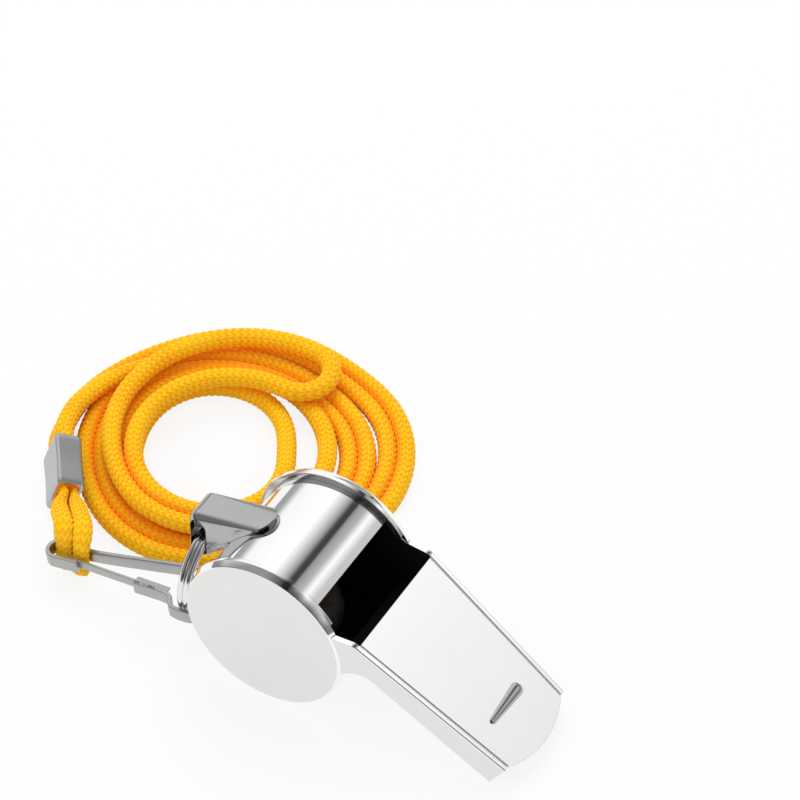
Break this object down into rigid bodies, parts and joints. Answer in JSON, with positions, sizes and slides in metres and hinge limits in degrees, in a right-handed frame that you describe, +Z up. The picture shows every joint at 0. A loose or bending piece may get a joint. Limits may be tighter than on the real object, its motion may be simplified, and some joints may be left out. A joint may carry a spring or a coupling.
{
  "type": "sports whistle",
  "caption": "Metal pea whistle standing on its drum and mouthpiece tip, with a split ring, a snap clip and a doubled knitted cord laid in a coil.",
  "frame": {"origin": "on the surface that the whistle stands on, under the middle of the length of the whistle and its tab and under the middle of its width", "axes": "+X towards the mouthpiece tip, +Y to the far side plate, along the drum's axis, +Z up"},
  "size_m": [0.0886, 0.0597, 0.024],
  "materials": {
    "polished_steel": "polished",
    "ring_steel": "polished",
    "brushed_strip": "brushed",
    "ferrule_steel": "satin",
    "cork": "matte",
    "yellow_cord": "knitted"
  },
  "bodies": {
    "whistle": {"near_side_plate": "polished_steel", "far_side_plate": "polished_steel", "barrel_band": "polished_steel", "mouthpiece_roof": "polished_steel", "windway_floor": "polished_steel", "ring_tab": "polished_steel"},
    "rolling_pea": {"pea": "cork"},
    "ring": {"split_ring": "ring_steel"},
    "lanyard": {"clip_hook": "brushed_strip", "ferrule": "ferrule_steel", "cord_in_ferrule": "yellow_cord", "cord_clip_loops": "yellow_cord", "cord_coil": "yellow_cord"},
    "gate": {"clip_gate": "brushed_strip"}
  },
  "joints": [
    {"name": "pea_roll", "type": "hinge", "parent": "whistle", "child": "rolling_pea", "pos_m": [-0.0104, 0, 0.012], "axis": [0, 1, 0], "continuous": true},
    {"name": "ring_swing", "type": "hinge", "parent": "whistle", "child": "ring", "pos_m": [-0.0244, 0, 0.01581], "axis": [0, 1, 0], "range_deg": [0, 60]},
    {"name": "clip_swing", "type": "hinge", "parent": "ring", "child": "lanyard", "pos_m": [-0.0244, -0.0075, 0.0066], "axis": [-0.1264, 0, 0.992], "range_deg": [0, 12]},
    {"name": "gate_press", "type": "hinge", "parent": "lanyard", "child": "gate", "pos_m": [-0.04414, -0.00609, 0.00409], "axis": [-0.1264, 0, 0.992], "range_deg": [0, 10], "stiffness_Nm_per_rad": 0.02}
  ]
}
